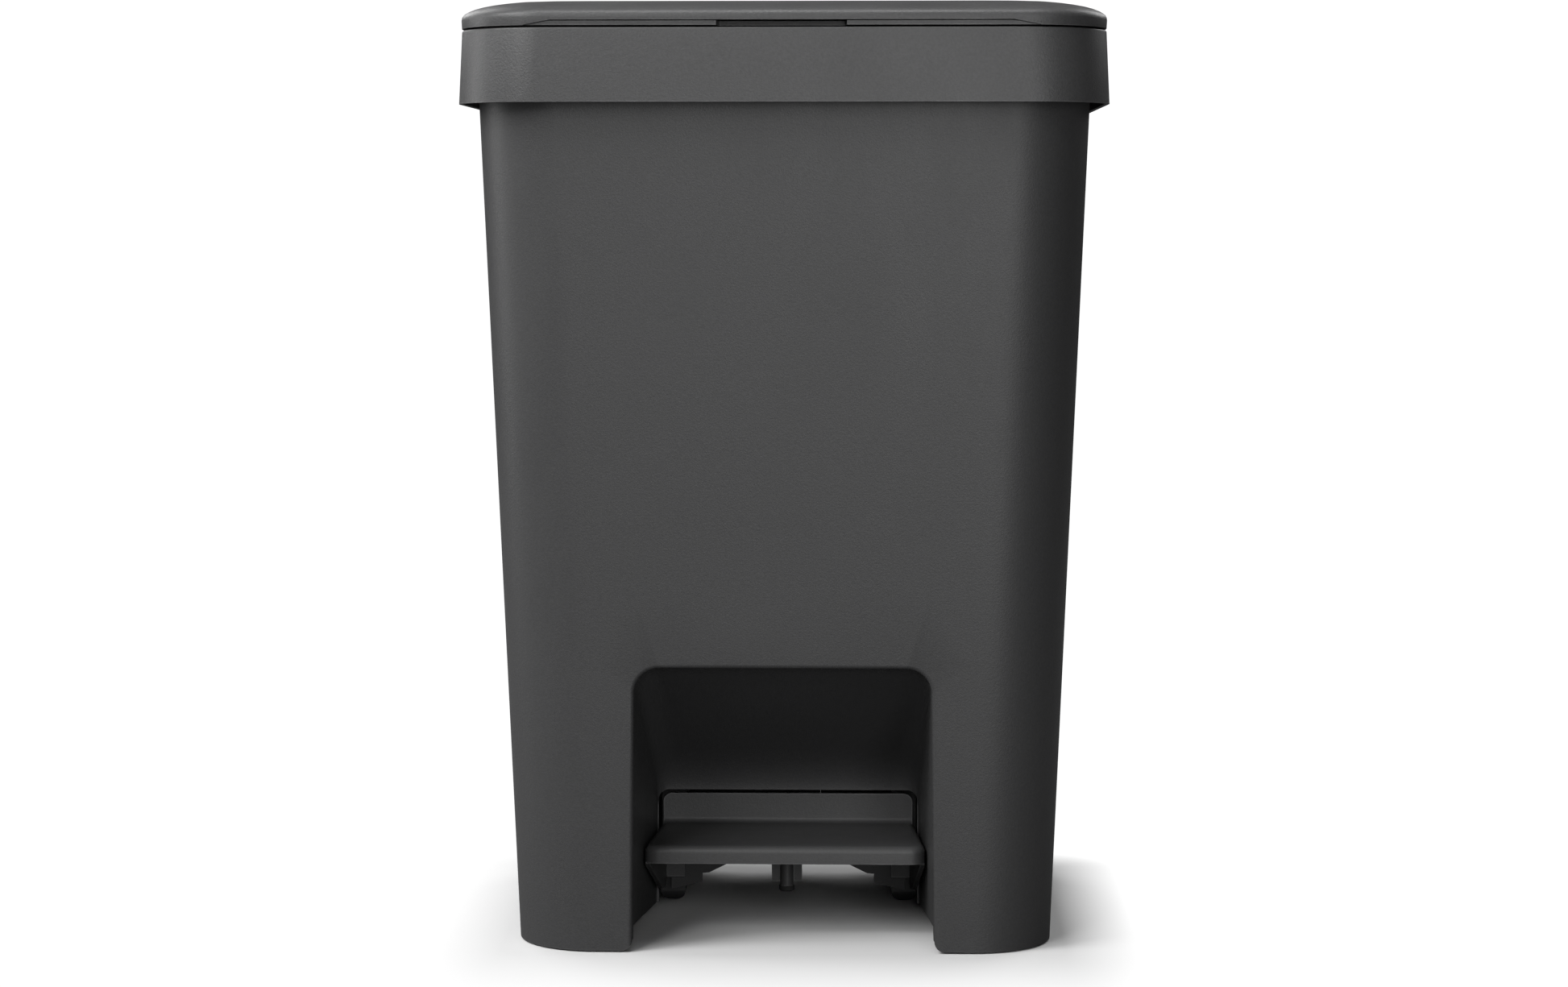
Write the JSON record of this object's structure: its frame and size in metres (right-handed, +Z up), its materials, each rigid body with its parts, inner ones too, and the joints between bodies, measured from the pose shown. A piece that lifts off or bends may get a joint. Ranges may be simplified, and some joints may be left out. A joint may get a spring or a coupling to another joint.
{
  "type": "pedal trash can",
  "caption": "Free-standing rectangular plastic pedal bin: tapered tub with a foot niche, lift-off rim band and a hinged lid opened by a pedal.",
  "frame": {"origin": "on the floor under the centre of the bin", "axes": "+Z up, the front with the pedal faces -Y, +X across the width"},
  "size_m": [0.3528, 0.292, 0.5213],
  "materials": {
    "moulded_plastic": "matt, fine moulded texture",
    "lid_plastic": "matt, fine moulded texture",
    "pedal_plastic": "matt, lightly rubbed by shoes",
    "mechanism_plastic": "satin",
    "rubber": "matt",
    "steel": "zinc plated"
  },
  "bodies": {
    "root": {"body_shell": "moulded_plastic", "rear_cover": "moulded_plastic", "cover_screws": "steel", "rod_guide_lower": "mechanism_plastic", "rod_guide_upper": "mechanism_plastic", "axle_clip_left": "mechanism_plastic", "axle_clip_right": "mechanism_plastic", "clip_screws": "steel", "pedal_axle": "steel", "foot_pad_front_left": "rubber", "foot_pad_front_right": "rubber", "foot_pad_rear_left": "rubber", "foot_pad_rear_right": "rubber"},
    "foot_pedal": {"pedal": "pedal_plastic", "pedal_lever": "mechanism_plastic", "pedal_screws": "steel", "pedal_stop": "rubber"},
    "lift_rod": {"push_rod": "steel", "rod_foot": "mechanism_plastic", "rod_head": "mechanism_plastic"},
    "rim": {"rim_frame": "lid_plastic", "hinge_cover": "lid_plastic", "hinge_pin_left": "steel", "hinge_pin_right": "steel", "hinge_screws": "steel"},
    "lid": {"lid_cover": "lid_plastic", "lid_inner_panel": "lid_plastic", "lid_buffers": "rubber", "lid_push_pad": "mechanism_plastic"}
  },
  "joints": [
    {"name": "rim_lift", "type": "slide", "parent": "root", "child": "rim", "axis": [0, 0, 1], "range_m": [0, 0.06]},
    {"name": "lid_hinge", "type": "hinge", "parent": "rim", "child": "lid", "pos_m": [0, 0.122, 0.51], "axis": [-1, 0, 0], "range_deg": [0, 80]},
    {"name": "pedal_hinge", "type": "hinge", "parent": "root", "child": "foot_pedal", "pos_m": [0, 0.0335, 0.032], "axis": [1, 0, 0], "range_deg": [0, 12]},
    {"name": "rod_slide", "type": "slide", "parent": "root", "child": "lift_rod", "axis": [0, 0, 1], "range_m": [0, 0.016]}
  ],
  "couplings": [
    {"joint": "pedal_hinge", "follows": "lid_hinge", "ratio": 0.15},
    {"joint": "rod_slide", "follows": "lid_hinge", "m_per_rad": 0.011459}
  ]
}
